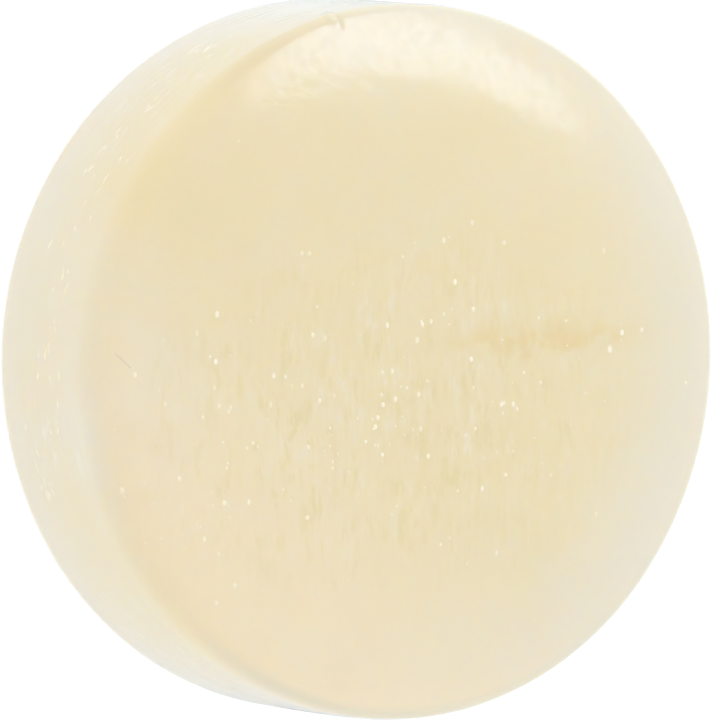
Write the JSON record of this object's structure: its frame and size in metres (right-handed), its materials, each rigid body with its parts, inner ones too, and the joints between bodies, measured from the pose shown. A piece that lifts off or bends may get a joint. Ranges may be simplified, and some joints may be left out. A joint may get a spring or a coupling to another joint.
{
  "type": "shaving soap puck",
  "caption": "Round ivory translucent puck of hard shaving soap in clear shrink film, crowned on its lathering face, for a mug or bowl.",
  "frame": {"origin": "centre of the back face, where the puck rests", "axes": "+Z out of the lathering face along the puck's axis; +X and +Y across the face"},
  "size_m": [0.07, 0.07, 0.021],
  "materials": {
    "soap": "satin translucent ivory soap, faintly streaked",
    "film": "clear gloss shrink film, faintly wrinkled"
  },
  "bodies": {
    "root": {"soap_puck": "soap", "film_front": "film", "film_back": "film"}
  },
  "joints": []
}
